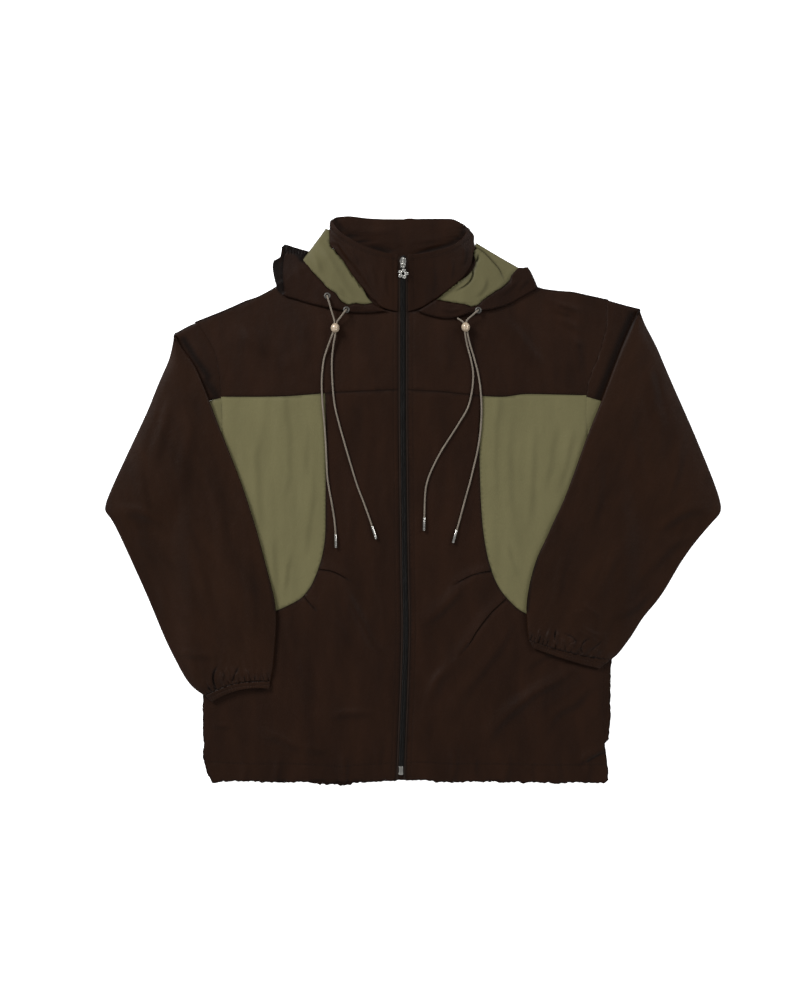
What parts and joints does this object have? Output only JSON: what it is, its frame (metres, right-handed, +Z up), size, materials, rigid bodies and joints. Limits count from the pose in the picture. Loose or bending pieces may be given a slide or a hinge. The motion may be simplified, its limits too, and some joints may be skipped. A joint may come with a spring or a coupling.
{
  "type": "hooded windbreaker jacket laid flat",
  "caption": "Light hooded windbreaker laid flat with a closed zip, sleeves folded over the front, stand collar, hood drawcords with bead locks and a flower zip pull.",
  "frame": {"origin": "on the surface that the jacket lies on, under the middle of its outline", "axes": "+X across the jacket towards the wearer's left sleeve, +Y from hem to collar, +Z up from the surface"},
  "size_m": [0.833, 0.7675, 0.0295],
  "materials": {
    "dark_nylon": "dark brown woven nylon, faint sheen",
    "sleeve_nylon": "dark brown woven nylon, slightly warmer",
    "olive_nylon": "olive woven nylon, matt",
    "zip_tape": "brown woven zip tape",
    "zip_coil": "near-black nylon coil",
    "silver": "polished pale metal",
    "grey_metal": "grey metal",
    "cord": "light taupe round braid"
  },
  "bodies": {
    "jacket": {"back_panel": "dark_nylon", "yoke_left": "dark_nylon", "yoke_right": "dark_nylon", "chest_panel_left": "olive_nylon", "chest_panel_right": "olive_nylon", "front_panel_left": "dark_nylon", "front_panel_right": "dark_nylon", "hood_shell": "dark_nylon", "hood_lining_left": "olive_nylon", "hood_lining_right": "olive_nylon", "hood_facing_left": "dark_nylon", "hood_facing_right": "dark_nylon", "collar": "dark_nylon", "sleeve_head_left": "dark_nylon", "sleeve_head_right": "dark_nylon", "sleeve_inset_left": "olive_nylon", "sleeve_inset_right": "olive_nylon", "sleeve_left": "sleeve_nylon", "sleeve_right": "sleeve_nylon", "cuff_left": "sleeve_nylon", "cuff_right": "sleeve_nylon", "zip_tape_left": "zip_tape", "zip_tape_right": "zip_tape", "zip_chain": "zip_coil", "zip_box": "silver", "zip_slider": "silver", "eyelet_left_outer": "grey_metal", "eyelet_left_inner": "grey_metal", "eyelet_right": "grey_metal", "bead_left": "silver", "bead_right": "silver", "cord_left_outer": "cord", "cord_left_inner": "cord", "cord_right_inner": "cord", "cord_right_outer": "cord", "tip_left_outer": "silver", "tip_left_inner": "silver", "tip_right_inner": "silver", "tip_right_outer": "silver"},
    "ring": {"pull_ring": "silver"},
    "flower": {"flower_charm": "silver"}
  },
  "joints": [
    {"name": "ring_swing", "type": "hinge", "parent": "jacket", "child": "ring", "pos_m": [-0.0142, 0.31682, 0.02734], "axis": [-1, 0, 0], "range_deg": [0, 115]},
    {"name": "flower_swing", "type": "hinge", "parent": "ring", "child": "flower", "pos_m": [-0.0142, 0.31149, 0.026], "axis": [-1, 0, 0], "range_deg": [0, 65]}
  ]
}
